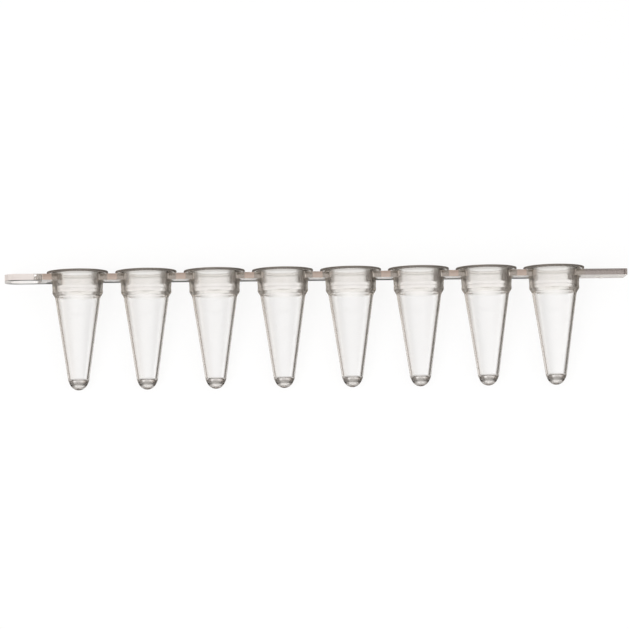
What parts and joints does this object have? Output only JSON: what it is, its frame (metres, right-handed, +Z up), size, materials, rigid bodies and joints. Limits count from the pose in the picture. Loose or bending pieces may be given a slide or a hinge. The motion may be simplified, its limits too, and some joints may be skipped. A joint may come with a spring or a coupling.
{
  "type": "pcr tube strip",
  "caption": "Row of small clear conical plastic tubes with open round mouths and thin rims, joined by a flat web with a ring tab at one end and a plain tab at the other.",
  "frame": {"origin": "middle of the footprint, on the surface that the strip lies on", "axes": "+X along the row, from the ring tab to the plain tab; +Y the way the mouths face, which they do 10.7 degrees upwards; +Z up, out of the strip's front as it lies on its back"},
  "size_m": [0.082, 0.0162, 0.008],
  "materials": {
    "clear_polypropylene": "clear with a faint haze, smooth gloss"
  },
  "bodies": {
    "root": {"tube_strip": "clear_polypropylene"}
  },
  "joints": []
}
